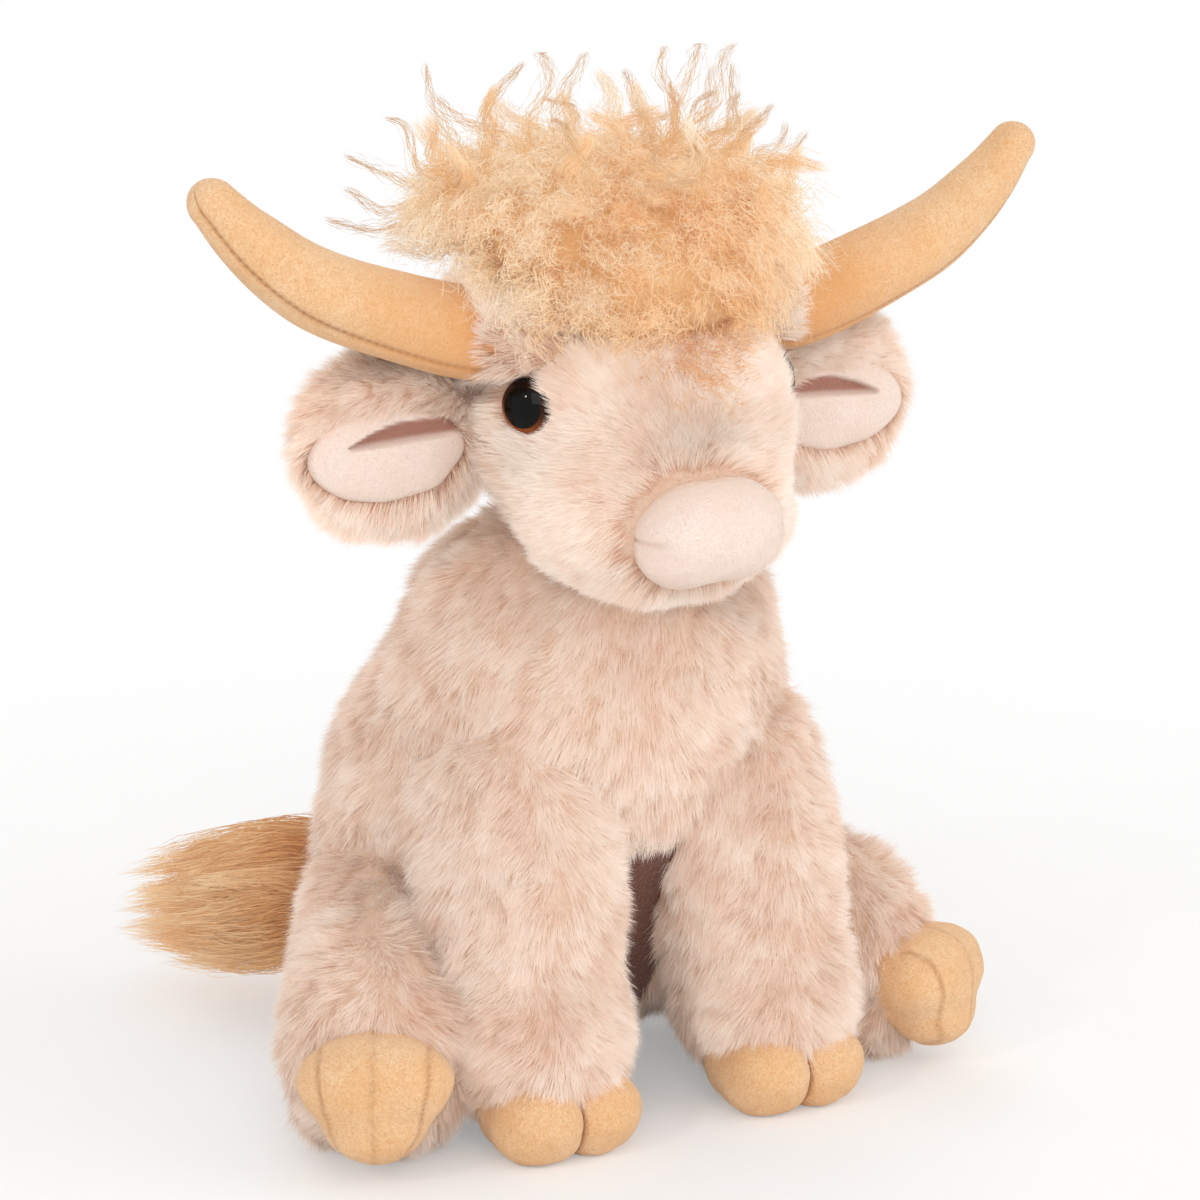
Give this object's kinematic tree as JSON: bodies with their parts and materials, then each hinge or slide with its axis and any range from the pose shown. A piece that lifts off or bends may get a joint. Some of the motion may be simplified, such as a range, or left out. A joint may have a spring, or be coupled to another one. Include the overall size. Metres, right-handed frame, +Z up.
{
  "type": "plush cow",
  "caption": "Stuffed long-pile toy cow that sits on its rump, with curved velour horns, a curly forelock, cupped ears, cloven velour feet and a tasselled tail.",
  "frame": {"origin": "middle of the bottom of the toy's box, on the surface that it sits on", "axes": "+Z up, -Y the way the cow faces, -X its right side"},
  "size_m": [0.2554, 0.2112, 0.273],
  "materials": {
    "fur": "long soft blush-beige pile",
    "golden_velour": "short golden-tan velour",
    "pink_velour": "short pale pink velour",
    "forelock_curls": "frizzy golden curls",
    "tassel_hair": "combed golden-brown hair",
    "stuffing": "white polyester fibre",
    "pouch_cloth": "plain woven bag of pellets",
    "eye_plastic": "polished dark brown dome",
    "washer_plastic": "moulded white"
  },
  "bodies": {
    "torso": {"body_cover": "fur", "body_stuffing": "stuffing", "pellet_pouch": "pouch_cloth"},
    "neck": {"neck_stuffing": "stuffing"},
    "head": {"head_cover": "fur", "head_stuffing": "stuffing", "nose_pad": "pink_velour", "forelock": "forelock_curls", "eye_right": "eye_plastic", "eye_left": "eye_plastic", "eye_washer_right": "washer_plastic", "eye_washer_left": "washer_plastic", "horn_right": "golden_velour", "horn_left": "golden_velour", "horn_stuffing_right": "stuffing", "horn_stuffing_left": "stuffing"},
    "tail": {"tail": "fur", "tail_tassel": "tassel_hair"},
    "ear_right": {"ear_right": "fur", "ear_lining_right": "pink_velour"},
    "fore_leg_right": {"fore_leg_right_cover": "fur", "fore_leg_right_stuffing": "stuffing", "fore_leg_right_right_toe": "golden_velour", "fore_leg_right_left_toe": "golden_velour"},
    "hind_leg_right": {"hind_leg_right_cover": "fur", "hind_leg_right_stuffing": "stuffing", "hind_leg_right_right_toe": "golden_velour", "hind_leg_right_left_toe": "golden_velour"},
    "ear_left": {"ear_left": "fur", "ear_lining_left": "pink_velour"},
    "fore_leg_left": {"fore_leg_left_cover": "fur", "fore_leg_left_stuffing": "stuffing", "fore_leg_left_right_toe": "golden_velour", "fore_leg_left_left_toe": "golden_velour"},
    "hind_leg_left": {"hind_leg_left_cover": "fur", "hind_leg_left_stuffing": "stuffing", "hind_leg_left_right_toe": "golden_velour", "hind_leg_left_left_toe": "golden_velour"}
  },
  "joints": [
    {"name": "neck_nod", "type": "hinge", "parent": "torso", "child": "neck", "pos_m": [0, -0.03472, 0.14874], "axis": [1, 0, 0], "range_deg": [-8, 8], "stiffness_Nm_per_rad": 1.5},
    {"name": "head_turn", "type": "hinge", "parent": "neck", "child": "head", "pos_m": [0, -0.03472, 0.14874], "axis": [0, 0, 1], "range_deg": [-20, 20], "stiffness_Nm_per_rad": 0.6},
    {"name": "tail_swing", "type": "hinge", "parent": "torso", "child": "tail", "pos_m": [-0.00396, 0.0434, 0.04378], "axis": [0, 0, 1], "range_deg": [-20, 20], "stiffness_Nm_per_rad": 0.06},
    {"name": "ear_right_flap", "type": "hinge", "parent": "head", "child": "ear_right", "pos_m": [-0.04465, -0.04284, 0.19104], "axis": [0, 0, -1], "range_deg": [-15, 15], "stiffness_Nm_per_rad": 0.03},
    {"name": "fore_leg_right_swing", "type": "hinge", "parent": "torso", "child": "fore_leg_right", "pos_m": [-0.0359, -0.04524, 0.1019], "axis": [-1, 0, 0], "range_deg": [0, 25], "stiffness_Nm_per_rad": 0.6},
    {"name": "hind_leg_right_splay", "type": "hinge", "parent": "torso", "child": "hind_leg_right", "pos_m": [-0.05214, -0.00868, 0.0415], "axis": [0, 0, -1], "range_deg": [0, 20], "stiffness_Nm_per_rad": 0.4},
    {"name": "ear_left_flap", "type": "hinge", "parent": "head", "child": "ear_left", "pos_m": [0.04465, -0.04284, 0.19104], "axis": [0, 0, 1], "range_deg": [-15, 15], "stiffness_Nm_per_rad": 0.03},
    {"name": "fore_leg_left_swing", "type": "hinge", "parent": "torso", "child": "fore_leg_left", "pos_m": [0.0359, -0.04524, 0.1019], "axis": [-1, 0, 0], "range_deg": [0, 25], "stiffness_Nm_per_rad": 0.6},
    {"name": "hind_leg_left_splay", "type": "hinge", "parent": "torso", "child": "hind_leg_left", "pos_m": [0.05214, -0.00868, 0.0415], "axis": [0, 0, 1], "range_deg": [0, 20], "stiffness_Nm_per_rad": 0.4}
  ]
}
